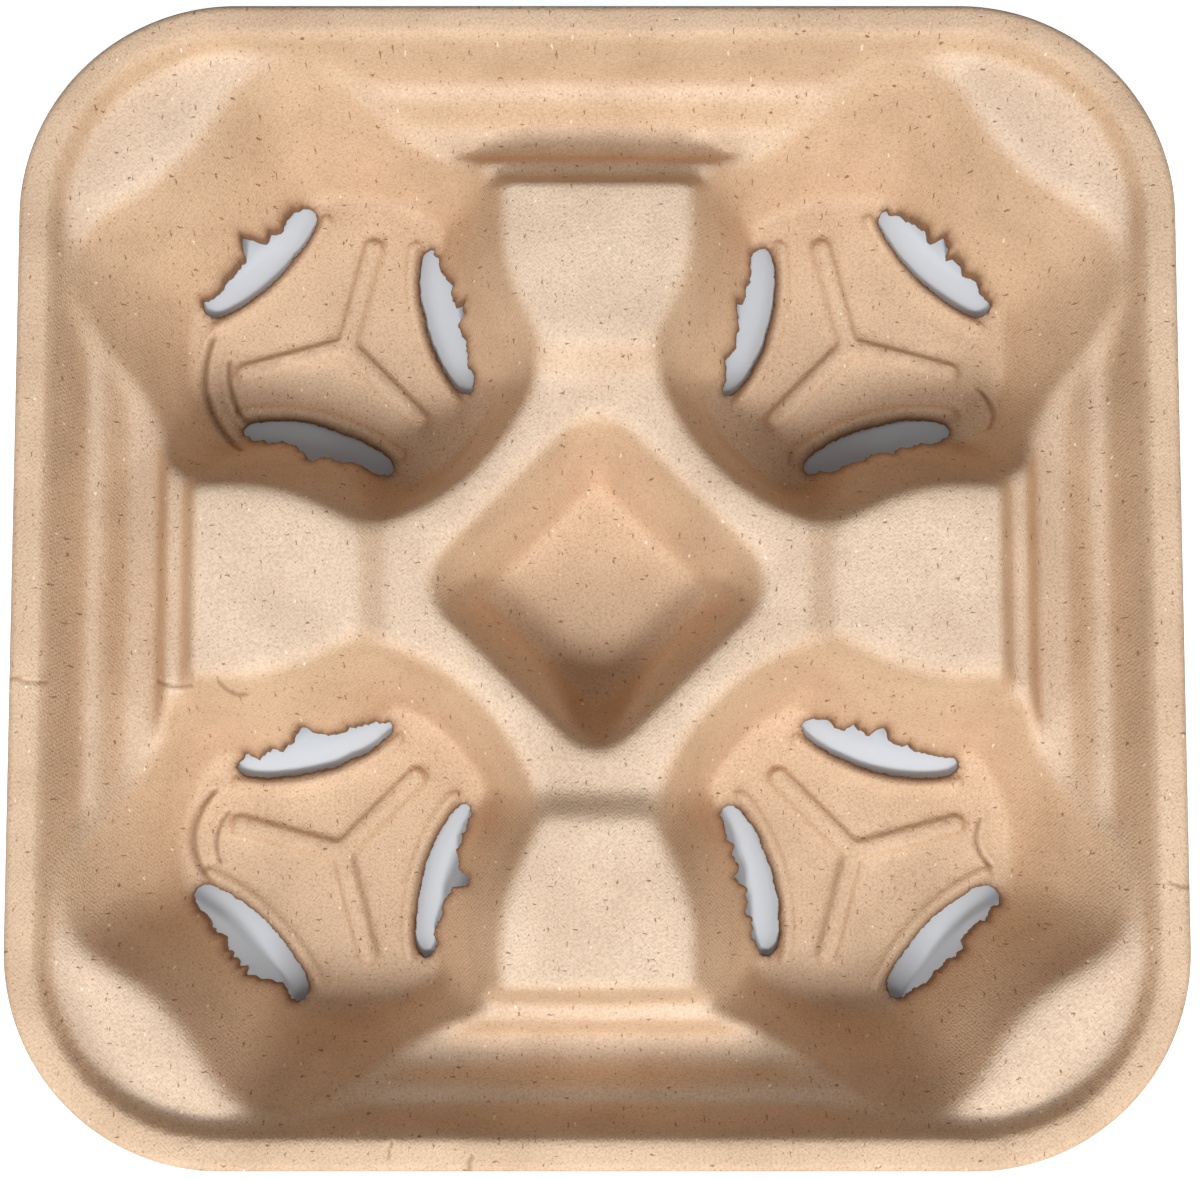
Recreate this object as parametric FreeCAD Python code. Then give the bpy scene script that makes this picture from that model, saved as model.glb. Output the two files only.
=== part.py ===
"""Four-cup carrier tray, drawn in one sheet of moulded paper pulp.

The tray is the sheet between two skins. The upper skin is the open space above the tray: a
shallow deck with four cup wells, a low saddle, a central pit and four stepped side grooves. The
lower skin is the same space again, made larger all round by the sheet's thickness. Each feature
is therefore one function of "grow", which is 0 for the upper skin and the wall for the lower one.

Millimetres. The origin is under the middle of the tray, on the plane that the wells stand on,
with +Z up.
"""

import FreeCAD, Part
import math
import os
from FreeCAD import Vector

UP = Vector(0, 0, 1)
MIDDLE = Vector(0, 0, 0)

# Sheet and outline
wall = 2.0
tray_side = 216.0
tray_height = 44.0
corner_radius = 40.0

# Rim: a flat band round the edge, with its outer edge rolled down
rim_width = 6.0
rim_roll_depth = 4.0
rim_roll_bevel = 1.5

# Deck: the shallow floor inside the rim, and the leaning wall that drops to it
deck_drop = 5.5
side_lean = 0.3

# Cup wells: round, and flared more on the three sides away from the tray's middle
well_pitch = 100.8
well_floor_radius = 31.0
inner_flare = 0.276
outer_flare = 0.47

# Bevels at the foot and the mouth of the wells and the pit
foot_bevel = 2.2
mouth_bevel = 2.6

# Flex panels: three bulges in each well, one towards the tray's corner and two beside it
panel_angles = (0, 120, 240)
panel_radius = (46.0, 36.0, 36.0)
panel_foot = (24.7, 20.5, 20.5)
panel_lean = (0.452, 0.394, 0.394)

# Slots under the panels: bowed inner edge, straight outer edge, half length, bow of the inner edge
slot_inner = (20.0, 16.4, 16.4)
slot_outer = (27.5, 22.9, 22.9)
slot_half_length = (15.3, 16.2, 16.2)
slot_inner_bow = (2.8, 3.6, 3.6)
slot_corner_radius = 1.2
notch_radius = 1.7
notch_reach = 1.0

# Raised marks on the well floors: a three-armed rib, and a bead beside each slot
rib_length = 23.0
rib_width = 4.6
rib_top_width = 2.6
rib_height = 1.8
rib_groove_width = 2.0
rib_groove_top_width = 1.0
rib_groove_depth = 1.2
bead_width = 3.2
bead_height = 1.2

# Saddle: the lowered square round the central pit
saddle_half = 39.0
saddle_drop = 6.0
saddle_ramp_run = 6.0
saddle_edge = 8.0

# Central pit: square, turned 45 degrees, with a flat floor
pit_floor_height = 4.0
pit_floor_half = 16.0
pit_mouth_half = 24.7
pit_corner_radius = 3.5

# Side grooves: steps across the groove as (distance in from the rim, depth below the deck)
groove_steps = ((26.7, 0), (23.3, 9.5), (20.4, 9.5), (17.1, 18.5), (12.3, 18.5), (7.4, 11.0))
groove_step_edge = 2.2
groove_floor_half_length = 36.0
groove_end_edge = 6.0

# Places that follow from the sizes above
half_side = tray_side / 2
deck_height = tray_height - deck_drop
saddle_height = deck_height - saddle_drop
open_half = half_side - rim_width
open_radius = corner_radius - rim_width
above = tray_height + 20
beyond = half_side + 20


def spread(lean, grow):
    """How far a leaning wall moves sideways when it is offset by grow."""
    return grow * math.sqrt(1 + lean * lean)


def rounded_square(half, radius, height, turn=0):
    """A square wire with rounded corners, on a level plane."""
    straight = half - radius
    middle = straight + radius * math.sqrt(0.5)
    edges = []
    for quarter in range(4):
        place = FreeCAD.Placement(Vector(0, 0, height), FreeCAD.Rotation(UP, 90 * quarter + turn))
        start = place.multVec(Vector(half, -straight, 0))
        bend = place.multVec(Vector(half, straight, 0))
        halfway = place.multVec(Vector(middle, middle, 0))
        end = place.multVec(Vector(straight, half, 0))
        edges.append(Part.LineSegment(start, bend).toShape())
        edges.append(Part.Arc(bend, halfway, end).toShape())
    return Part.Wire(edges)


def rounded_profile(corners):
    """A closed wire in the XZ plane through (x, z, radius), with tangent arcs at its corners."""
    edges = []
    joins = []
    for before, here, after in zip(corners[-1:] + corners[:-1], corners, corners[1:] + corners[:1]):
        corner = Vector(here[0], 0, here[1])
        if not here[2]:
            joins.append((corner, corner))
            continue
        back = (Vector(before[0], 0, before[1]) - corner).normalize()
        forth = (Vector(after[0], 0, after[1]) - corner).normalize()
        half_angle = back.getAngle(forth) / 2
        reach = here[2] / math.tan(half_angle)
        inward = (back + forth).normalize()
        crown = corner + inward * (here[2] / math.sin(half_angle) - here[2])
        joins.append((corner + back * reach, corner + forth * reach))
        edges.append(Part.Arc(corner + back * reach, crown, corner + forth * reach).toShape())
    for here, after in zip(joins, joins[1:] + joins[:1]):
        edges.append(Part.LineSegment(here[1], after[0]).toShape())
    return Part.Wire(Part.sortEdges(edges)[0])


def offset_steps(steps, grow):
    """Moves a stepped line (x, z, radius) below itself by grow, with its bends kept parallel."""
    moved = []
    for index, (x, z, radius) in enumerate(steps):
        runs = []
        for other, sign in ((index - 1, 1), (index + 1, -1)):
            if 0 <= other < len(steps):
                run = Vector((x - steps[other][0]) * sign, 0, (z - steps[other][1]) * sign)
                runs.append(run.normalize())
        normals = [Vector(run.z, 0, -run.x) for run in runs]
        total = normals[0] if len(normals) == 1 else (normals[0] + normals[1]).normalize()
        step = total * (grow / total.dot(normals[0]))
        rising = len(runs) == 2 and runs[0].x * runs[1].z > runs[0].z * runs[1].x
        bend = radius + grow if rising else radius - grow
        moved.append((x + step.x, z + step.z, bend if radius else 0))
    return moved


def trench(steps, grow):
    """The space above a stepped line, carried straight along Y."""
    line = offset_steps(steps, grow)
    loop = [(line[0][0], above, 0)] + line + [(line[-1][0], above, 0)]
    space = Part.Face(rounded_profile(loop)).extrude(Vector(0, 2 * beyond, 0))
    space.translate(Vector(0, -beyond, 0))
    return space


def turned(shape, angle):
    """A copy of the shape, turned about the tray's middle axis."""
    copy = shape.copy()
    copy.rotate(MIDDLE, UP, angle)
    return copy


def deck_and_saddle(grow):
    """The open space above the deck, lowered by the square saddle in the middle."""
    top = saddle_half + saddle_ramp_run
    across = trench(
        [
            (-beyond, deck_height, 0),
            (-top, deck_height, saddle_edge),
            (-saddle_half, saddle_height, saddle_edge),
            (saddle_half, saddle_height, saddle_edge),
            (top, deck_height, saddle_edge),
            (beyond, deck_height, 0),
        ],
        grow,
    )
    return across.common(turned(across, 90))


def side_groove(grow):
    """One stepped groove along the +X side: its steps across, its sloping ends along."""
    steps = [(saddle_half + saddle_ramp_run, deck_height, 0)]
    for inward, depth in groove_steps:
        steps.append((open_half - inward, deck_height - depth, groove_step_edge))
    across = trench(steps + [(beyond, steps[-1][1], 0)], grow)
    end = groove_floor_half_length
    rise = max(depth for inward, depth in groove_steps)
    floor = deck_height - rise
    along = trench(
        [
            (-beyond, deck_height, 0),
            (-end - rise, deck_height, groove_end_edge),
            (-end, floor, groove_end_edge),
            (end, floor, groove_end_edge),
            (end + rise, deck_height, groove_end_edge),
            (beyond, deck_height, 0),
        ],
        grow,
    )
    return across.common(turned(along, 90))


def bevelled_wall(start, lean, low, high, grow):
    """A leaning wall from a floor to a ledge, as (distance, height), bevelled at both ends.

    The lower skin keeps the plain corners, which the wire mould underneath forms sharper.
    """
    if grow:
        line = [(0, low, 0), (start, low, 0), (start + lean * (high - low), high, 0)]
        line.append((line[-1][0] + beyond, high, 0))
        return [(distance, height) for distance, height, _ in offset_steps(line, grow)][1:-1]
    foot = start + lean * foot_bevel
    head = start + lean * (high - low - mouth_bevel)
    line = [
        (0, low, 0),
        (foot - foot_bevel, low, 0),
        (foot, low + foot_bevel, 0),
        (head, high - mouth_bevel, 0),
        (head + mouth_bevel, high, 0),
        (head + beyond, high, 0),
    ]
    return [(distance, height) for distance, height, _ in offset_steps(line, grow)][1:-1]


def spun(outline, angle):
    """A solid made by turning (radius, height) points about the upright axis at the origin."""
    low, high = outline[0][1], outline[-1][1] + wall
    loop = [(0, low)] + outline + [(outline[-1][0], high), (0, high), (0, low)]
    half_plane = Part.Face(Part.makePolygon([Vector(radius, 0, height) for radius, height in loop]))
    return half_plane.revolve(MIDDLE, UP, angle)


def leaning_column(index, start, end, grow):
    """A round column whose side nearest the well's middle runs through (distance, height) points."""
    lean = (end[0] - start[0]) / (end[1] - start[1])
    slant = math.sqrt(1 + lean * lean)
    radius = panel_radius[index] * slant - grow
    reach = 2 * tray_height
    foot = Vector(start[0] + radius * slant - lean * reach, 0, start[1] - reach)
    return Part.makeCylinder(radius, 2 * reach * slant, foot, Vector(lean, 0, 1))


def flex_panel(index, grow):
    """The bulge that stands into a well and leans away from its middle, bevelled as the walls are."""
    nose = bevelled_wall(panel_foot[index], panel_lean[index], wall, deck_height, grow)
    columns = [leaning_column(index, start, end, grow) for start, end in zip(nose, nose[1:])]
    if grow:
        panel = columns[0]
    else:
        foot, side, mouth = columns
        panel = side.fuse(foot).common(mouth)
    return turned(panel, panel_angles[index])


def cup_well(grow):
    """One well at the origin, its corner side towards +X: two flares less three flex panels."""
    levels = (wall, deck_height, grow)
    inner = turned(spun(bevelled_wall(well_floor_radius, inner_flare, *levels), 120), 120)
    outer = turned(spun(bevelled_wall(well_floor_radius, outer_flare, *levels), 240), 240)
    well = inner.fuse(outer).removeSplitter()
    return well.cut([flex_panel(index, grow) for index in range(3)])


def central_pit(grow):
    """The square pit in the middle, its corners towards the four sides."""
    rise = saddle_height - pit_floor_height
    lean = (pit_mouth_half - pit_floor_half) / rise
    wires = []
    for half, height in bevelled_wall(pit_floor_half, lean, pit_floor_height, saddle_height, grow):
        wires.append(rounded_square(half, pit_corner_radius + grow, height, 45))
    lid = wires[-1].copy()
    lid.translate(Vector(0, 0, wall))
    return Part.makeLoft(wires + [lid], True, True)


def open_space(grow):
    """All the space over the tray, held inside the leaning wall below the rim."""
    well = turned(cup_well(grow), 45)
    well.translate(Vector(well_pitch / 2, well_pitch / 2, 0))
    groove = side_groove(grow)
    features = [central_pit(grow)]
    for count in range(4):
        features += [turned(well, 90 * count), turned(groove, 90 * count)]
    space = deck_and_saddle(grow).fuse(features)

    def outline(height):
        step = side_lean * (height - tray_height) + spread(side_lean, grow)
        return rounded_square(open_half + step, open_radius + grow, height)

    inside = Part.makeLoft([outline(-wall), outline(above)], True, True)
    return space.common(inside)


def arm(length, width, top_width, low, height):
    """A bar from the origin along +X with sloping sides and a round end."""
    def outline(half_width, level):
        end = length - rib_width / 2
        points = [(0, -half_width), (end, -half_width), (end + half_width, 0), (end, half_width), (0, half_width)]
        back_low, low_end, tip, high_end, back_high = [Vector(x, y, level) for x, y in points]
        edges = [
            Part.LineSegment(back_low, low_end).toShape(),
            Part.Arc(low_end, tip, high_end).toShape(),
            Part.LineSegment(high_end, back_high).toShape(),
            Part.LineSegment(back_high, back_low).toShape(),
        ]
        return Part.Wire(edges)

    sunk = 0.5
    slope = (width - top_width) / 2 / height
    foot = outline(width / 2 + slope * sunk, low - sunk)
    head = outline(top_width / 2, low + height)
    return Part.makeLoft([foot, head], True, True)


def three_armed(width, top_width, low, height):
    """The three-armed rib, its arms pointing between the flex panels."""
    bar = arm(rib_length, width, top_width, low, height)
    return turned(bar, 60).fuse([turned(bar, 180), turned(bar, 300)]).removeSplitter()


def slot_arc(index):
    """Centre distance and radius of a slot's inner edge, which bows towards the well's middle."""
    half, bow = slot_half_length[index], slot_inner_bow[index]
    radius = (half * half + bow * bow) / (2 * bow)
    return slot_inner[index] + radius, radius


def slot_cutter(index):
    """An upright cutter with a bowed inner edge, a straight outer edge and a notch in that."""
    centre, radius = slot_arc(index)
    half, low, tall = slot_half_length[index], -wall, deck_height / 2
    cutter = Part.makeCylinder(radius, tall, Vector(centre, 0, low), UP).common(
        Part.makeBox(slot_outer[index], 2 * half, tall, Vector(0, -half, low))
    )
    corners = [edge for edge in cutter.Edges if edge.BoundBox.ZLength > tall / 2]
    cutter = cutter.makeFillet(slot_corner_radius, corners)
    notch = Part.makeCylinder(notch_radius, tall, Vector(slot_outer[index] + notch_reach, 0, low), UP)
    return turned(cutter.fuse(notch), panel_angles[index])


def bead(index):
    """A low bead on the well floor, along the slot's inner edge, with sloping sides."""
    centre, radius = slot_arc(index)
    half_angle = math.degrees(math.asin(slot_half_length[index] / radius))
    sunk = wall / 4
    section = [(0, -sunk), (0, 0), (bead_height, bead_height), (bead_width - bead_height, bead_height)]
    section += [(bead_width, 0), (bead_width, -sunk), (0, -sunk)]
    start = centre - radius - bead_width
    strip = Part.Face(Part.makePolygon([Vector(start + across, 0, wall + up) for across, up in section]))
    strip.rotate(Vector(centre, 0, 0), UP, -half_angle)
    return turned(strip.revolve(Vector(centre, 0, 0), UP, 2 * half_angle), panel_angles[index])


def in_each_well(shapes):
    """Copies of shapes drawn for a well at the origin, one set in each of the four wells."""
    copies = []
    for count in range(4):
        for shape in shapes:
            copy = turned(shape, 45)
            copy.translate(Vector(well_pitch / 2, well_pitch / 2, 0))
            copies.append(turned(copy, 90 * count))
    return copies


def rim():
    """The flat band round the tray, with its bevelled outer edge turned down."""
    outline = Part.Face(rounded_square(half_side, corner_radius, tray_height - rim_roll_depth))
    band = outline.extrude(Vector(0, 0, rim_roll_depth))
    outer_edges = [edge for edge in band.Edges if edge.BoundBox.ZMin > tray_height - 0.01]
    band = band.makeChamfer(rim_roll_bevel, outer_edges)
    hollow = Part.Face(rounded_square(half_side - wall, corner_radius - wall, tray_height - rim_roll_depth))
    return band.cut(hollow.extrude(Vector(0, 0, rim_roll_depth - wall)))


def cup_carrier():
    """The whole tray: rim and lower skin, less the space above and the slots."""
    below_rim = Part.makeBox(2 * beyond, 2 * beyond, tray_height, Vector(-beyond, -beyond, 0))
    grooved = in_each_well([three_armed(rib_groove_width, rib_groove_top_width, 0, rib_groove_depth)])
    lower_skin = open_space(wall).common(below_rim).cut(grooved)
    raised = in_each_well(
        [three_armed(rib_width, rib_top_width, wall, rib_height)] + [bead(index) for index in range(3)]
    )
    upper_skin = open_space(0).cut(raised)
    tray = lower_skin.fuse(rim()).cut(upper_skin)
    tray = tray.cut(in_each_well([slot_cutter(index) for index in range(3)]))
    return tray.removeSplitter()


carrier = cup_carrier()
os.makedirs("parts", exist_ok=True)
carrier.exportStep("parts/cup_carrier.step")
print("solids", len(carrier.Solids), "valid", carrier.isValid(), "volume", round(carrier.Volume))
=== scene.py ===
"""Four-cup carrier tray of moulded paper pulp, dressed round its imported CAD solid.

Lengths in the forming steps are millimetres, as on the drawing, and turn to metres when a mesh is
made. The origin is under the middle of the tray, with +Z up and the photograph's lower edge at -Y.
"""

import math

import bpy
import numpy as np
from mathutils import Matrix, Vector, geometry


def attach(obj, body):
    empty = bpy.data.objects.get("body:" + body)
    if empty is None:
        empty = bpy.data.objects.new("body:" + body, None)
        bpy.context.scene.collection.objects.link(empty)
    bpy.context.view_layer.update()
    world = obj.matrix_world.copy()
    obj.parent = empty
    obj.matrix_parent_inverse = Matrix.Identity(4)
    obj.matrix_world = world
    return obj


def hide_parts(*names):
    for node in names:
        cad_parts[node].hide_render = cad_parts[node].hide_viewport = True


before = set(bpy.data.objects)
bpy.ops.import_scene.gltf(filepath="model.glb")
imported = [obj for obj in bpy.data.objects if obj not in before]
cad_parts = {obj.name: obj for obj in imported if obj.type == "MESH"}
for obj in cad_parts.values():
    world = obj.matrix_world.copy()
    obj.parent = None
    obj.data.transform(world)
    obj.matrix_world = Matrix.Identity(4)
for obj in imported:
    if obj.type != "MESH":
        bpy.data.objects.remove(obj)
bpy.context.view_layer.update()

# Form of the tray. One sheet of paper pulp, sucked onto a wire-mesh mould and dried on it, so
# every bend is soft and the sheet has the same thickness everywhere. The pulp fills the room below
# one open space: a shallow deck, four cup wells, a saddle, a central pit and four side grooves.
wall = 2.0
half_side = 108.0
corner_radius = 40.0
rim_height = 44.0
rim_width = 6.0
rim_roll_radius = 1.9
rim_roll_depth = 4.0
side_lean = 0.3
deck_height = 38.5
saddle_height = 32.5
saddle_line = [(0, saddle_height), (39, saddle_height), (45, deck_height), (130, deck_height)]
groove_line = [
    (40, deck_height), (75.3, deck_height), (78.7, 29), (81.6, 29),
    (84.9, 20), (89.7, 20), (94.6, 27.5), (130, 27.5),
]
groove_end_line = [(0, 20), (36, 20), (54.5, deck_height), (130, deck_height)]
pit_floor_height, pit_floor_half, pit_lean = 4.0, 16.0, 0.305
well_centre = 50.4
well_floor_radius = 31.0
well_flare, well_shift = 0.408, 0.132
panels = [(0, 46.0, 24.7, 0.452), (120, 36.0, 20.5, 0.394)]


def soft_max(one, other, blend):
    """The larger of two distances, rounded where they are within the blend of each other."""
    near = np.maximum(blend - np.abs(one - other), 0)
    return np.maximum(one, other) + near * near / (4 * blend)


def soft_min(one, other, blend):
    """The smaller of two distances, rounded in the same way."""
    return -soft_max(-one, -other, blend)


def softened(line, rounding):
    """Turns a stepped line into a function for its height and slope, with its bends rounded."""
    step = 0.1
    places = np.arange(line[0][0], line[-1][0], step)
    heights = np.interp(places, *zip(*line))
    reach = int(3 * rounding / step)
    weights = np.exp(-0.5 * (np.arange(-reach, reach + 1) * step / rounding) ** 2)
    heights = np.convolve(np.pad(heights, reach, mode="edge"), weights / weights.sum(), "valid")
    slopes = np.gradient(heights, step)
    return lambda place: (np.interp(place, places, heights), np.interp(place, places, slopes))


saddle_across = softened(saddle_line, 1.6)
groove_across = softened(groove_line, 0.75)
groove_along = softened(groove_end_line, 2.2)


def above_line(across, place, z):
    """Distance down into the pulp from a softened line."""
    height, slope = across(place)
    return (height - z) / np.sqrt(1 + slope * slope)


def outside_square(x, y, half, radius):
    """Distance outside a rounded square."""
    over_x, over_y = np.abs(x) - half + radius, np.abs(y) - half + radius
    corner = np.hypot(np.maximum(over_x, 0), np.maximum(over_y, 0))
    return corner + np.minimum(np.maximum(over_x, over_y), 0) - radius


def leaning(distance, lean):
    """Distance from a leaning wall, out of the level distance from it."""
    return distance / math.sqrt(1 + lean * lean)


def in_well(x, y):
    """Places in the nearest well's own frame: along its diagonal outwards, and beside it."""
    along_x, along_y = np.abs(x) - well_centre, np.abs(y) - well_centre
    return (along_x + along_y) * math.sqrt(0.5), np.abs(along_y - along_x) * math.sqrt(0.5)


def depth_in_pulp(x, y, z, marks):
    """Distance below the tray's upper skin, with the raised marks standing on the well floors."""
    x, y = np.abs(x), np.abs(y)
    deck = soft_max(above_line(saddle_across, x, z), above_line(saddle_across, y, z), 1.5)

    rise = z - pit_floor_height
    rounding = np.clip(3.0 + 0.3 * rise, 3.0, 10.0)
    diamond = soft_max((x + y) * math.sqrt(0.5), np.abs(x - y) * math.sqrt(0.5), rounding)
    pit = leaning(diamond - pit_floor_half - pit_lean * rise, pit_lean)
    pit = soft_max(pit, pit_floor_height - z, 3.0)

    along, beside = in_well(x, y)
    rise = z - wall
    well = leaning(
        np.hypot(along - well_shift * rise, beside) - well_floor_radius - well_flare * rise, well_flare
    )
    web = np.clip(2.2 + 0.12 * rise, 2.2, 6.5)
    for angle, radius, foot, lean in panels:
        turn = math.radians(angle)
        axis = radius + foot + lean * rise
        away = np.hypot(along - axis * math.cos(turn), beside - axis * math.sin(turn))
        well = soft_max(well, leaning(radius - away, lean), web)
    well = soft_max(well, marks - z, 2.0)

    space = soft_min(deck, pit, 2.6)
    for across, beyond in ((x, y), (y, x)):
        groove = soft_max(above_line(groove_across, across, z), above_line(groove_along, beyond, z), 2.0)
        space = soft_min(space, groove, 1.2)
    space = soft_min(space, well, 3.2)
    inside = leaning(
        outside_square(x, y, half_side - rim_width, corner_radius - rim_width)
        - side_lean * (z - rim_height), side_lean
    )
    space = soft_max(space, inside, 2.2)
    return soft_min(space, rim_height - z, 1.5)


def skin_height(x, y, marks, depth):
    """Height of the level that lies at a depth below the upper skin, found by halving."""
    low, high = np.full(len(x), -8.0), np.full(len(x), rim_height + 4.0)
    for _ in range(26):
        middle = (low + high) / 2
        deeper = depth_in_pulp(x, y, middle, marks) > depth
        low, high = np.where(deeper, middle, low), np.where(deeper, high, middle)
    return (low + high) / 2


# Ragged slots. The press tears the floor open under each flex panel: the slot's inner edge stays
# smooth along a raised bead, and its outer edge is torn, with a notch near its middle.
slot_angles = (0, 120, 240)
slot_inner, slot_outer = (20.0, 16.4, 16.4), (27.5, 22.9, 22.9)
slot_half_length = (15.3, 16.2, 16.2)
slot_inner_bow = (2.8, 3.6, 3.6)
slot_edge_step = 0.4
chance = np.random.default_rng(7)


def slot_arc(index):
    """Centre distance and radius of a slot's inner edge, which bows towards the well's middle."""
    half, bow = slot_half_length[index], slot_inner_bow[index]
    radius = (half * half + bow * bow) / (2 * bow)
    return slot_inner[index] + radius, radius


def rough(count, steps, size):
    """Seeded random steps along an edge, softened over a few points."""
    knots = chance.normal(0, size, max(int(count / steps), 2) + 1)
    return np.interp(np.linspace(0, len(knots) - 1, count), np.arange(len(knots)), knots)


def slot_outline(index):
    """One slot in the frame of its own panel, as closed points: smooth inner edge, torn outer."""
    half = slot_half_length[index] * chance.uniform(0.95, 1.02)
    centre, radius = slot_arc(index)
    count = int(2 * half / slot_edge_step)
    beside = np.linspace(-half, half, count)
    end = 1 - np.abs(beside / half) ** 16
    inner = centre - np.sqrt(radius ** 2 - beside ** 2)
    inner = inner + end * (rough(count, 8, 0.15) + rough(count, 2, 0.06))
    torn = rough(count, 12, 0.5) + rough(count, 4, 0.4) + rough(count, 1.5, 0.2)
    outer = slot_outer[index] + chance.normal(0, 0.3) + end * torn
    middle = chance.normal(0, 1.0)
    notch = np.clip(1.9 - 1.9 * np.abs(beside - middle) / chance.uniform(1.8, 3.0), 0, 1)
    outer = outer + chance.uniform(1.0, 2.4) * notch * (1 + rough(count, 2, 0.25))
    level = (inner + outer) / 2
    inner, outer = level + (inner - level) * end ** 0.5, level + (outer - level) * end ** 0.5
    return np.concatenate([inner, outer[-2:0:-1]]), np.concatenate([beside, beside[-2:0:-1]])


def placed(x, y, angle, quadrant):
    """Moves points from a panel's frame into one of the four wells."""
    turn = math.radians(angle + 45)
    well_x = well_centre + x * math.cos(turn) - y * math.sin(turn)
    well_y = well_centre + x * math.sin(turn) + y * math.cos(turn)
    return well_x * quadrant[0], well_y * quadrant[1]


quadrants = [(-1, 1), (1, 1), (-1, -1), (1, -1)]
slots = [
    placed(*slot_outline(index), slot_angles[index], quadrant)
    for quadrant in quadrants
    for index in range(3)
]

# Raised marks on the well floors: a three-armed rib with rounded ends, pressed up from below, and
# a low bead along the inner edge of each slot, which stiffens the floor beside the tear.
rib_length, rib_half_width, rib_height = 20.7, 2.3, 1.8
rib_hollow_half_width, rib_hollow_depth = 1.0, 1.2
bead_half_width, bead_height = 1.6, 1.2


def bar_distance(along, beside, length):
    """Level distance from a line that runs from the well's middle outwards."""
    return np.hypot(np.maximum(along - length, 0) + np.minimum(along, 0), beside)


def raised_marks(x, y):
    """Height of the well floor with its marks, and how far the rib's hollow reaches up below."""
    along, beside = in_well(x, y)
    rib = np.full(len(x), 99.0)
    for angle in (60, 180):
        turn = math.radians(angle)
        arm_along = along * math.cos(turn) + beside * math.sin(turn)
        arm_beside = beside * math.cos(turn) - along * math.sin(turn)
        rib = soft_min(rib, bar_distance(arm_along, arm_beside, rib_length), 1.0)
    height = rib_height * np.clip((rib_half_width + 0.3 - rib) / 1.5, 0, 1)
    hollow = rib_hollow_depth * np.clip((rib_hollow_half_width + 0.4 - rib) / 0.9, 0, 1)
    for index in (0, 1):
        turn = math.radians(slot_angles[index])
        panel_along = along * math.cos(turn) + beside * math.sin(turn)
        panel_beside = beside * math.cos(turn) - along * math.sin(turn)
        centre, radius = slot_arc(index)
        away = np.abs(np.hypot(panel_along - centre, panel_beside) - radius - bead_half_width)
        past_end = np.maximum(np.abs(panel_beside) - slot_half_length[index], 0)
        past_end = past_end + np.maximum(panel_along - 30, 0)
        bead = np.clip(1 - (np.hypot(away, past_end) / bead_half_width) ** 2, 0, 1)
        height = np.maximum(height, bead_height * bead)
    smooth_height = height * height * (3 * rib_height - 2 * height) / rib_height ** 2
    return wall + np.where(height > bead_height, smooth_height, height), hollow


# Creases and unevenness. Drawing the wet sheet down into the wells wrinkles it beside the flex
# panels, and handling has bent the rim in a few places; the dried sheet is never quite flat.
# Each crease is its two ends, its bow to one side, its half width and its depth. Each wave is its
# direction, its start and its length.
creases = [
    (-77.5, 52.0, -70.5, 28.5, 4.4, 0.7, 0.9), (-74.0, 47.5, -69.0, 33.0, 1.6, 0.6, 0.7),
    (-76.0, -38.5, -76.5, -56.0, 3.6, 0.7, 0.8), (-73.0, -42.5, -74.5, -52.0, 1.4, 0.5, 0.6),
    (76.5, 42.0, 78.0, 33.5, -1.8, 0.5, 0.6), (75.5, -44.0, 77.5, -53.0, 1.6, 0.5, 0.6),
    (-107.5, -18.6, -101.5, -19.6, 0.4, 0.35, 0.5), (-37.0, -102.5, -37.6, -107.5, 0.2, 0.3, 0.4),
    (-22.5, -105.0, -23.2, -107.6, 0.1, 0.3, 0.4), (104.0, -56.0, 107.6, -57.2, 0.3, 0.3, 0.4),
    (-84.0, -18.0, -76.0, -19.5, 0.6, 0.45, 0.4), (-70.5, -19.0, -66.0, -21.0, 0.8, 0.5, 0.4),
]
wave_steepness = 0.0016
waves = [
    (chance.uniform(0, math.tau), chance.uniform(0, math.tau), chance.uniform(9, 38))
    for _ in range(16)
]


def nearest_crease(x, y):
    """Distance from the nearest crease, as a share of its half width, and its depth there."""
    share, depth = np.full(len(x), 99.0), np.zeros(len(x))
    for start_x, start_y, end_x, end_y, bow, half_width, deep in creases:
        run_x, run_y = end_x - start_x, end_y - start_y
        length = math.hypot(run_x, run_y)
        go = ((x - start_x) * run_x + (y - start_y) * run_y) / length ** 2
        off = ((x - start_x) * run_y - (y - start_y) * run_x) / length - 4 * bow * go * (1 - go)
        off = np.hypot(off, length * (np.maximum(-go, 0) + np.maximum(go - 1, 0))) / half_width
        closer = off < share
        share, depth = np.where(closer, off, share), np.where(closer, deep, depth)
    return share, depth


def wrinkled(x, y, height):
    """The upper skin with its creases, a raised lip beside each, and slow waves over the sheet."""
    share, depth = nearest_crease(x, y)
    height = height - depth * np.exp(-share * share) + 0.45 * depth * np.exp(-(share - 1.9) ** 2)
    for turn, start, length in waves:
        across = x * math.cos(turn) + y * math.sin(turn)
        height = height + wave_steepness * length * np.sin(math.tau * across / length + start)
    return height


# The tray's mesh: plan points, close together where the sheet bends and along the slots, joined
# into triangles that stop at the rim and the slots, then lifted to the upper and lower skins.
slot_step = 0.5


def rim_outline():
    """Points round the flat of the rim, just inside its rolled edge."""
    half, radius = half_side - rim_roll_radius, corner_radius - rim_roll_radius
    straight = half - radius
    side = np.arange(-straight, straight, 1.0)
    turns = np.linspace(0, math.pi / 2, 60)[:-1]
    x = np.concatenate([np.full(len(side), half), straight + radius * np.cos(turns)])
    y = np.concatenate([side, straight + radius * np.sin(turns)])
    corners = [(x, y), (-y, x), (-x, -y), (y, -x)]
    return tuple(np.concatenate([corner[axis] for corner in corners]) for axis in (0, 1))


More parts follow.
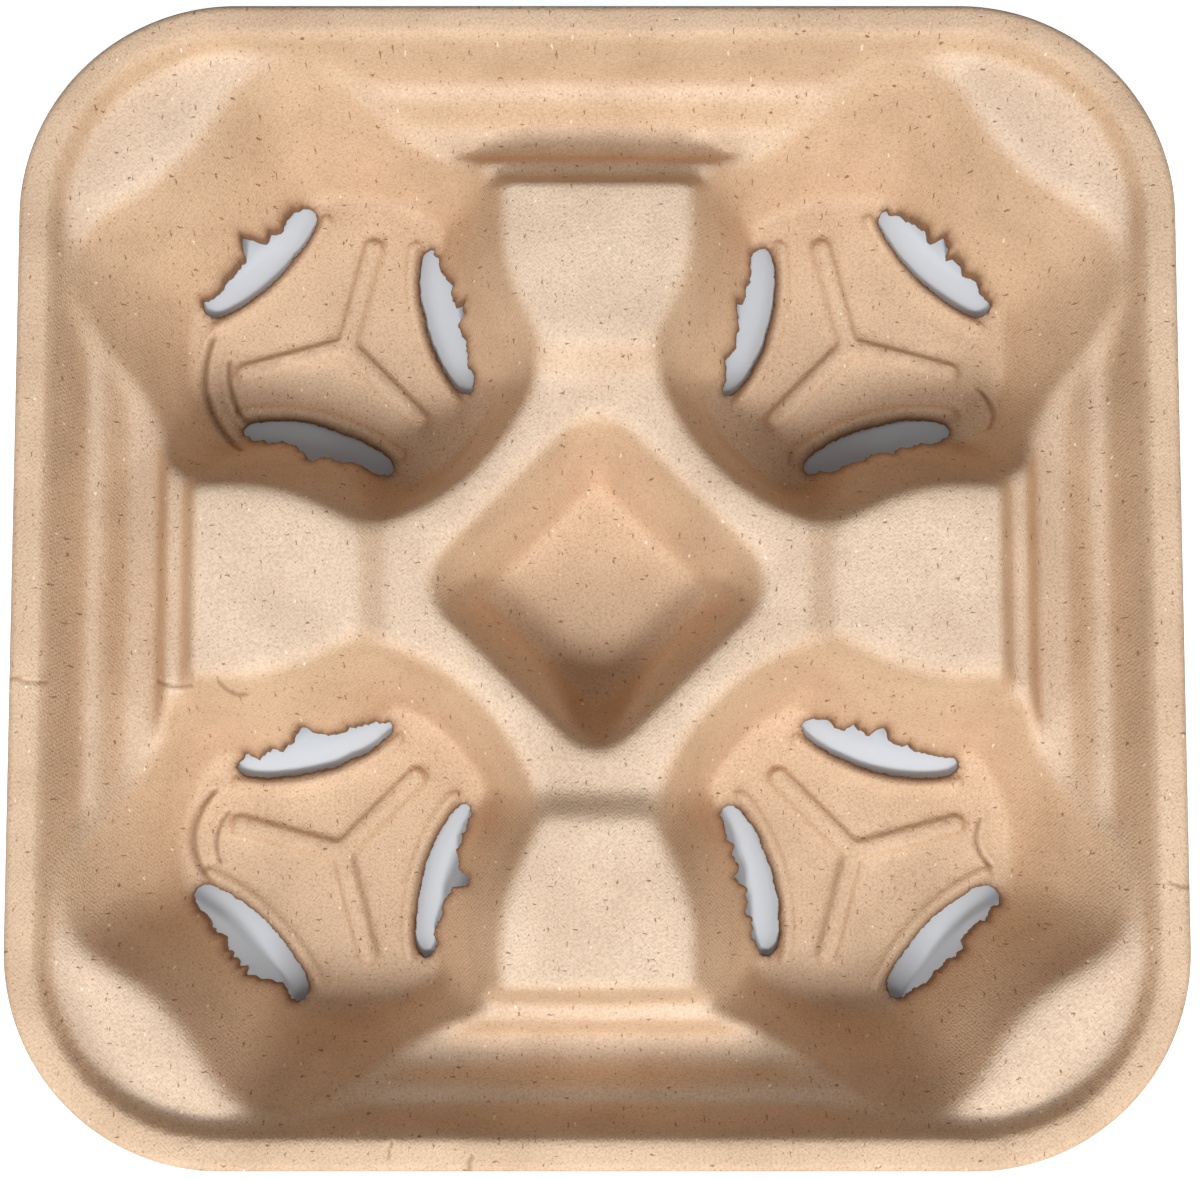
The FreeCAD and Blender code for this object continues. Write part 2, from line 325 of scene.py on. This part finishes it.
def plan_points():
    """The rim, the slots, and filling points at three spacings, with the edges that are fixed."""
    outlines = [rim_outline()] + slots
    points, edges, first = [], [], 0
    for x, y in outlines:
        points.append(np.column_stack([x, y]))
        edges += [(first + place, first + (place + 1) % len(x)) for place in range(len(x))]
        first += len(x)
    fixed = np.concatenate(points)
    reach = np.arange(-216, 217) * slot_step
    grid_x, grid_y = [values.ravel() for values in np.meshgrid(reach, reach)]
    inside = outside_square(grid_x, grid_y, half_side - rim_roll_radius, corner_radius) < -0.6
    grid_x, grid_y = grid_x[inside], grid_y[inside]
    marks, _ = raised_marks(grid_x, grid_y)
    height = skin_height(grid_x, grid_y, marks, 0)
    near = 0.8
    bend = np.zeros(len(grid_x))
    for shift_x, shift_y in ((near, 0), (-near, 0), (0, near), (0, -near)):
        moved, _ = raised_marks(grid_x + shift_x, grid_y + shift_y)
        bend = np.maximum(bend, np.abs(skin_height(grid_x + shift_x, grid_y + shift_y, moved, 0) - height))
    fold_x, fold_y = np.rint(grid_x / slot_step).astype(int), np.rint(grid_y / slot_step).astype(int)
    on_fine = (fold_x % 2 == 0) & (fold_y % 2 == 0)
    on_coarse = (fold_x % 4 == 0) & (fold_y % 4 == 0)
    by_slot = np.full(len(grid_x), 99.0)
    for x, y in slots:
        close = (np.abs(grid_x - x.mean()) < 22) & (np.abs(grid_y - y.mean()) < 22)
        gaps = np.hypot(grid_x[close, None] - x[None, :], grid_y[close, None] - y[None, :]).min(1)
        by_slot[close] = np.minimum(by_slot[close], gaps)
    marked = np.abs(marks - wall - rib_height / 2) < rib_height / 2 - 0.01
    marked &= height < wall + rib_height + 1
    keep = on_coarse | (on_fine & (bend > 0.25)) | (by_slot < 1.2) | marked
    keep |= nearest_crease(grid_x, grid_y)[0] < 3.5
    keep &= by_slot > 0.3
    filling = np.column_stack([grid_x[keep], grid_y[keep]])
    filling += chance.uniform(-0.08, 0.08, filling.shape)
    return np.concatenate([fixed, filling]), edges


def outline_holds(outline, points):
    """True for the points that lie inside a closed outline."""
    inside = np.zeros(len(points), bool)
    x, y = outline
    close = np.nonzero((np.abs(points[:, 0] - x.mean()) < 22) & (np.abs(points[:, 1] - y.mean()) < 22))[0]
    px, py = points[close, 0], points[close, 1]
    odd = np.zeros(len(close), bool)
    for here, after in zip(range(len(x)), np.roll(np.arange(len(x)), -1)):
        spans = (y[here] > py) != (y[after] > py)
        cross = (x[after] - x[here]) * (py - y[here]) / (y[after] - y[here] + 1e-12) + x[here]
        odd ^= spans & (px < cross)
    inside[close] = odd
    return inside


points, edges = plan_points()
made = geometry.delaunay_2d_cdt([Vector(point) for point in points], edges, [], 0, 1e-5)
plan = np.array([tuple(point) for point in made[0]])
triangles = np.array([tuple(face) for face in made[2]])
centres = plan[triangles].mean(1)
kept = outside_square(*centres.T, half_side - rim_roll_radius, corner_radius - rim_roll_radius) < 0
for outline in slots:
    kept &= ~outline_holds(outline, centres)
triangles = triangles[kept]
corners = plan[triangles]
across = corners[:, 1] - corners[:, 0]
onward = corners[:, 2] - corners[:, 0]
flipped = across[:, 0] * onward[:, 1] < across[:, 1] * onward[:, 0]
triangles[flipped] = triangles[flipped][:, ::-1]

plan_x, plan_y = plan.T
marks, hollow = raised_marks(plan_x, plan_y)
upper = skin_height(plan_x, plan_y, marks, 0)
lower = np.maximum(skin_height(plan_x, plan_y, np.full(len(plan), wall), wall), hollow)
lower = np.maximum(lower, 0)
inner_part = outside_square(plan_x, plan_y, half_side, corner_radius) < -rim_roll_radius - 0.5
upper = np.where(inner_part, np.minimum(wrinkled(plan_x, plan_y, upper), rim_height), upper)


def open_edges(triangles):
    """Directed edges that have a triangle on one side only, with the sheet on their left."""
    ends = np.concatenate([triangles[:, [0, 1]], triangles[:, [1, 2]], triangles[:, [2, 0]]])
    keys = ends[:, 0] * len(plan) + ends[:, 1]
    return ends[~np.isin(keys, ends[:, 1] * len(plan) + ends[:, 0])]


border = open_edges(triangles)
outward = np.zeros((len(plan), 2))
run = plan[border[:, 1]] - plan[border[:, 0]]
square_off = np.column_stack([run[:, 1], -run[:, 0]]) / np.hypot(*run.T)[:, None]
np.add.at(outward, border[:, 0], square_off)
np.add.at(outward, border[:, 1], square_off)
outward /= np.maximum(np.hypot(*outward.T), 1e-9)[:, None]
on_rim = outside_square(plan_x, plan_y, half_side, corner_radius) > -rim_roll_radius - 0.5

roll = rim_roll_radius
turns = np.radians([15, 30, 45, 60, 75, 90])
rim_rings = [(roll * math.sin(turn), rim_height - roll + roll * math.cos(turn)) for turn in turns]
foot = rim_height - rim_roll_depth
rim_rings += [
    (roll, foot + 0.5), (roll - 0.15, foot + 0.1), (roll - 0.5, foot), (0.5, foot), (0.1, foot + 0.3),
]
slot_rings = [(0.10, 0.82), (0.16, 0.5), (0.05, 0.15)]

edge_gap = np.full(len(plan), 99.0)
for x, y in slots:
    close = (np.abs(plan_x - x.mean()) < 22) & (np.abs(plan_y - y.mean()) < 22)
    gaps = np.hypot(plan_x[close, None] - x[None, :], plan_y[close, None] - y[None, :]).min(1)
    edge_gap[close] = np.minimum(edge_gap[close], gaps)
# Mask for the material's dark band: close to the slot edges, and in the creases, where it is painted shade.
creased = np.exp(-nearest_crease(plan_x, plan_y)[0] ** 2)
dark_edges_and_painted_crease_shade = np.maximum(np.exp(-edge_gap / 0.9), 0.8 * creased)
dark_edge_and_crease_shade_values = [dark_edges_and_painted_crease_shade, dark_edges_and_painted_crease_shade]

vertices = [np.column_stack([plan, upper]), np.column_stack([plan, lower])]
faces = [triangles, triangles[:, ::-1] + len(plan)]
total = 2 * len(plan)
for members, rings in ((on_rim, rim_rings), (~on_rim, slot_rings)):
    sides = border[members[border[:, 0]]]
    ids = np.unique(sides)
    local = np.zeros(len(plan), int)
    local[ids] = np.arange(len(ids))
    previous = ids
    for reach, level in rings:
        if rings is rim_rings:
            height = np.full(len(ids), level)
            reach = np.full(len(ids), reach)
        else:
            height = lower[ids] + (upper[ids] - lower[ids]) * level
            reach = reach + chance.normal(0, 0.1, len(ids))
        dark_edge_and_crease_shade_values.append(dark_edges_and_painted_crease_shade[ids])
        vertices.append(np.column_stack([plan[ids] + outward[ids] * reach[:, None], height]))
        current = total + np.arange(len(ids))
        total += len(ids)
        start, end = local[sides[:, 0]], local[sides[:, 1]]
        faces.append(np.column_stack([current[start], current[end], previous[end]]))
        faces.append(np.column_stack([current[start], previous[end], previous[start]]))
        previous = current
    current = ids + len(plan)
    faces.append(np.column_stack([current[start], current[end], previous[end]]))
    faces.append(np.column_stack([current[start], previous[end], previous[start]]))
vertices = np.concatenate(vertices) / 1000
faces = np.concatenate(faces)
used = np.unique(faces)
renumber = np.zeros(len(vertices), int)
renumber[used] = np.arange(len(used))
vertices, faces = vertices[used], renumber[faces]

tray_mesh = bpy.data.meshes.new("pulp_tray")
tray_mesh.from_pydata(vertices.tolist(), [], faces.tolist())
tray_mesh.validate()
tray_mesh.attributes.new("dark_edges_and_painted_crease_shade", "FLOAT", "POINT").data.foreach_set("value", np.concatenate(dark_edge_and_crease_shade_values)[used])
tray_mesh.shade_smooth()
tray = bpy.data.objects.new("pulp_tray", tray_mesh)
bpy.context.collection.objects.link(tray)
print("tray triangles", len(tray_mesh.polygons))


# Finish of the tray: moulded paper pulp, unbleached and dried on the mould, so it is matt and
# felted: to the eye a warm, even brown with crumbs and short fibres in it, cloudy patches, and the
# fine hatch of the wire mesh.
def colour(hex_value):
    """A written sRGB colour as linear light."""
    parts = [int(hex_value[place:place + 2], 16) / 255 for place in (1, 3, 5)]
    linear = [part / 12.92 if part <= 0.04045 else ((part + 0.055) / 1.055) ** 2.4 for part in parts]
    return tuple(linear) + (1,)


def add_node(tree, kind, links=(), **settings):
    """Adds one node with its settings: sockets by name or number, the rest as properties."""
    node = tree.nodes.new(kind)
    for name, value in settings.items():
        if hasattr(node, name):
            setattr(node, name, value)
        else:
            node.inputs[name.replace("_", " ")].default_value = value
    for source, socket in links:
        tree.links.new(source, node.inputs[socket])
    return node


pulp = bpy.data.materials.new("moulded_pulp_unbleached")
pulp.use_nodes = True
tree = pulp.node_tree
finish = tree.nodes["Principled BSDF"]
finish.inputs["Roughness"].default_value = 0.9
finish.inputs["Specular IOR Level"].default_value = 0.2
place = add_node(tree, "ShaderNodeTexCoord").outputs["Object"]

# Upward-facing parts are drawn paler and pinker and steep walls browner. This is partly the pulp's own
# paler pressed skin and partly painted light on the faces turned up to the lamps.
# Low places, such as the well floors and the pit, keep less of the pale tone: painted shade in the
# recesses. Above 39.5 mm the rim's top is drawn less pale than the deck.
normal = add_node(tree, "ShaderNodeNewGeometry").outputs["Normal"]
facing = add_node(tree, "ShaderNodeSeparateXYZ", [(normal, 0)])
height = add_node(tree, "ShaderNodeSeparateXYZ", [(place, 0)])
level = add_node(
    tree, "ShaderNodeMapRange", [(facing.outputs["Z"], "Value")], From_Min=0.5, From_Max=0.975,
)
high = add_node(
    tree, "ShaderNodeMapRange", [(height.outputs["Z"], "Value")],
    From_Min=0.004, From_Max=0.031, To_Min=0.38,
)
# Painted light and shade: paler where the sheet faces up and stands high, browner on steep walls and low
# down in the wells and the pit.
pale_skin_and_painted_light = add_node(
    tree, "ShaderNodeMath", [(level.outputs[0], 0), (high.outputs[0], 1)], operation="MULTIPLY",
)
rim_top_less_pale = add_node(
    tree, "ShaderNodeMapRange", [(height.outputs["Z"], "Value")],
    From_Min=0.0395, From_Max=0.0425, To_Min=1.0, To_Max=0.35,
)
pale_skin_and_painted_light = add_node(
    tree, "ShaderNodeMath", [(pale_skin_and_painted_light.outputs[0], 0), (rim_top_less_pale.outputs[0], 1)], operation="MULTIPLY",
)
tone = add_node(
    tree, "ShaderNodeMixRGB", [(pale_skin_and_painted_light.outputs[0], "Fac")],
    Color1=colour("#d5b697"), Color2=colour("#e0c8b0"),
)

# Cloudy patches where the pulp settled thicker, 14 mm across down to 2 mm, and a grain of fibre
# ends. The grain is drawn at 0.5 mm, because true fibre ends are finer than the picture shows.
clouds = []
for size, detail, dark, strength in (
    (0.014, 3.0, "#a8927c", 0.20), (0.0005, 1.0, "#8c6f55", 0.24),
):
    cloud = add_node(tree, "ShaderNodeTexNoise", [(place, "Vector")], Scale=1 / size, Detail=detail)
    clouds.append(cloud.outputs[0])
    sharper = add_node(
        tree, "ShaderNodeMapRange", [(cloud.outputs[0], "Value")], From_Min=0.3, From_Max=0.62,
    )
    shade = add_node(
        tree, "ShaderNodeMixRGB", [(sharper.outputs[0], "Fac")],
        Color1=colour(dark), Color2=colour("#ffffff"),
    )
    tone = add_node(
        tree, "ShaderNodeMixRGB", [(tone.outputs[0], "Color1"), (shade.outputs[0], "Color2")],
        blend_type="MULTIPLY", Fac=strength,
    )

# Flecks left from the waste paper: bark-brown crumbs and short fibres, and a few pale ones. Each
# row is the spacing, the stretch, the turn, the reach in a cell, the share of cells, and the colour.
ragged = add_node(tree, "ShaderNodeTexNoise", [(place, "Vector")], Scale=2200.0, Detail=0.0)
ragged = add_node(
    tree, "ShaderNodeVectorMath", [(ragged.outputs["Color"], 0)], operation="SCALE", Scale=0.0005,
)
jumbled = add_node(tree, "ShaderNodeVectorMath", [(place, 0), (ragged.outputs[0], 1)], operation="ADD")
for spacing, stretch, turn, reach, share, fleck in (
    (0.0016, (1, 1, 1), 0.0, 0.10, 0.40, "#8f6642"), (0.0034, (1, 0.28, 1), 0.9, 0.046, 0.60, "#7d5433"),
    (0.0040, (0.3, 1, 1), 0.5, 0.042, 0.50, "#6a4429"), (0.0060, (1, 0.6, 1), 2.0, 0.035, 0.40, "#f4e6d2"),
):
    turned = add_node(
        tree, "ShaderNodeMapping", [(jumbled.outputs[0], "Vector")], Rotation=(0, 0, turn), Scale=stretch,
    )
    cells = add_node(
        tree, "ShaderNodeTexVoronoi", [(turned.outputs[0], "Vector")],
        Scale=1 / spacing, voronoi_dimensions="2D",
    )
    crumb = add_node(
        tree, "ShaderNodeMapRange", [(cells.outputs["Distance"], "Value")],
        From_Min=reach * 0.6, From_Max=reach, To_Min=0.75, To_Max=0.0,
    )
    lot = add_node(tree, "ShaderNodeSeparateXYZ", [(cells.outputs["Color"], 0)])
    chosen = add_node(tree, "ShaderNodeMath", [(lot.outputs[0], 0)], operation="LESS_THAN")
    chosen.inputs[1].default_value = share
    crumb = add_node(
        tree, "ShaderNodeMath", [(crumb.outputs[0], 0), (chosen.outputs[0], 1)], operation="MULTIPLY",
    )
    tone = add_node(
        tree, "ShaderNodeMixRGB", [(crumb.outputs[0], "Fac"), (tone.outputs[0], "Color1")],
        Color2=colour(fleck),
    )

# Darker along the torn slot edges and in the creases. In the creases this is painted shade; a narrow band
# along the slot edges is drawn darker.
torn = add_node(tree, "ShaderNodeAttribute", attribute_name="dark_edges_and_painted_crease_shade").outputs["Fac"]
torn = add_node(tree, "ShaderNodeMapRange", [(torn, "Value")], From_Min=0.15, From_Max=1.0, To_Max=0.8)
tone = add_node(
    tree, "ShaderNodeMixRGB", [(torn.outputs[0], "Fac"), (tone.outputs[0], "Color1")],
    Color2=colour("#7a5538"),
)

# The hatch of the mould's wire mesh, 0.55 mm between wires both ways, over the felt of the fibre
# ends. The texture's own bands are a twentieth of a full turn apart.
wire_pitch = 0.00055
relief = clouds[1]
for turn, strength in ((math.radians(45), 0.16), (math.radians(-45), 0.10)):
    turned = add_node(tree, "ShaderNodeMapping", [(place, "Vector")], Rotation=(0, 0, turn))
    wires = add_node(
        tree, "ShaderNodeTexWave", [(turned.outputs[0], "Vector")], Scale=math.tau / 20 / wire_pitch,
    )
    wires = add_node(tree, "ShaderNodeMath", [(wires.outputs[1], 0), (relief, 2)], operation="MULTIPLY_ADD")
    wires.inputs[1].default_value = strength
    relief = wires.outputs[0]
felt = add_node(tree, "ShaderNodeBump", [(relief, "Height")], Strength=1.0, Distance=0.00016)
tree.links.new(felt.outputs[0], finish.inputs["Normal"])
tree.links.new(tone.outputs[0], finish.inputs["Base Color"])
tray_mesh.materials.append(pulp)

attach(tray, "root")
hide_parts("cup_carrier")

# Table and backdrop: one pale, plain sheet of card, a hair below the tray. Beyond the tray it is
# drawn white to the camera and to reflections; beneath the tray it keeps the tray's shadow.
floor_mesh = bpy.data.meshes.new("table_top")
reach = 3.0
low = -0.0002
floor_mesh.from_pydata(
    [(-reach, -reach, low), (reach, -reach, low), (reach, reach, low), (-reach, reach, low)],
    [], [(0, 1, 2, 3)],
)
floor = bpy.data.objects.new("table_top", floor_mesh)
bpy.context.collection.objects.link(floor)
paper = bpy.data.materials.new("white_card")
paper.use_nodes = True
tree = paper.node_tree
finish = tree.nodes["Principled BSDF"]
finish.inputs["Base Color"].default_value = colour("#cdd3da")
finish.inputs["Roughness"].default_value = 0.8
rays = add_node(tree, "ShaderNodeLightPath")
seen = add_node(
    tree, "ShaderNodeMath", [(rays.outputs["Is Camera Ray"], 0), (rays.outputs["Is Glossy Ray"], 1)],
    operation="MAXIMUM",
)
spot = add_node(tree, "ShaderNodeTexCoord").outputs["Object"]
spot = add_node(tree, "ShaderNodeVectorMath", [(spot, 0)], operation="ABSOLUTE")
spot = add_node(tree, "ShaderNodeVectorMath", [(spot.outputs[0], 0)], operation="SUBTRACT")
spot.inputs[1].default_value = (0.068, 0.068, 0)
spot = add_node(tree, "ShaderNodeVectorMath", [(spot.outputs[0], 0)], operation="MAXIMUM")
spot = add_node(tree, "ShaderNodeVectorMath", [(spot.outputs[0], 0)], operation="LENGTH")
beyond = add_node(
    tree, "ShaderNodeMapRange", [(spot.outputs["Value"], "Value")],
    From_Min=0.014, From_Max=0.036, To_Max=0.9,
)
strength = add_node(
    tree, "ShaderNodeMath", [(seen.outputs[0], 0), (beyond.outputs[0], 1)], operation="MULTIPLY",
)
glow = add_node(tree, "ShaderNodeEmission", [(strength.outputs[0], "Strength")])
glow.inputs["Color"].default_value = colour("#eef3fa")
both = add_node(tree, "ShaderNodeAddShader", [(finish.outputs[0], 0), (glow.outputs[0], 1)])
tree.links.new(both.outputs[0], tree.nodes["Material Output"].inputs["Surface"])
floor_mesh.materials.append(paper)

# Studio light: a small softbox on the near side draws the shadows, a broad one either side of it
# carries the level, and weak lamps at the sides and overhead open the darkest corners.
for name, energy, size, location in (
    ("near_softbox", 12.6, 0.24, (0.0, -0.835, 1.125)),
    ("near_left_softbox", 4.6, 0.5, (-0.66, -0.72, 0.98)),
    ("near_right_softbox", 4.6, 0.5, (0.66, -0.72, 0.98)),
    ("left_lamp", 3.3, 0.4, (-1.1, -0.1, 0.85)),
    ("right_lamp", 3.3, 0.4, (1.1, -0.1, 0.85)),
    ("top_lamp", 1.4, 0.5, (0.0, 0.1, 1.4)),
):
    lamp_data = bpy.data.lights.new(name, "AREA")
    lamp_data.shape = "SQUARE"
    lamp_data.size = size
    lamp_data.energy = energy
    lamp = bpy.data.objects.new(name, lamp_data)
    lamp.location = location
    lamp.rotation_euler = (Vector((0, 0, 0)) - lamp.location).to_track_quat("-Z", "Y").to_euler()
    bpy.context.collection.objects.link(lamp)
room = bpy.data.worlds.new("pale_room")
bpy.context.scene.world = room
room.use_nodes = True
tree = room.node_tree
tree.nodes["Background"].inputs["Color"].default_value = colour("#f4f6fa")
rays = add_node(tree, "ShaderNodeLightPath")
strength = add_node(tree, "ShaderNodeMath", [(rays.outputs["Is Camera Ray"], 0)], operation="MAXIMUM")
strength.inputs[1].default_value = 0.1
tree.links.new(strength.outputs[0], tree.nodes["Background"].inputs["Strength"])

# Camera: nearly overhead, leaning a little from the near side, at the photograph's distance.
camera_data = bpy.data.cameras.new("overhead_camera")
camera_data.sensor_fit = "HORIZONTAL"
camera_data.sensor_width = 36.0
camera_data.lens = 82.0
camera_data.clip_start = 0.01
camera = bpy.data.objects.new("overhead_camera", camera_data)
camera.location = (0.0005, -0.0526, 0.5435)
camera.rotation_euler = (math.radians(5.70), 0, 0)
bpy.context.collection.objects.link(camera)
bpy.context.scene.camera = camera
bpy.context.scene.view_settings.view_transform = "Standard"
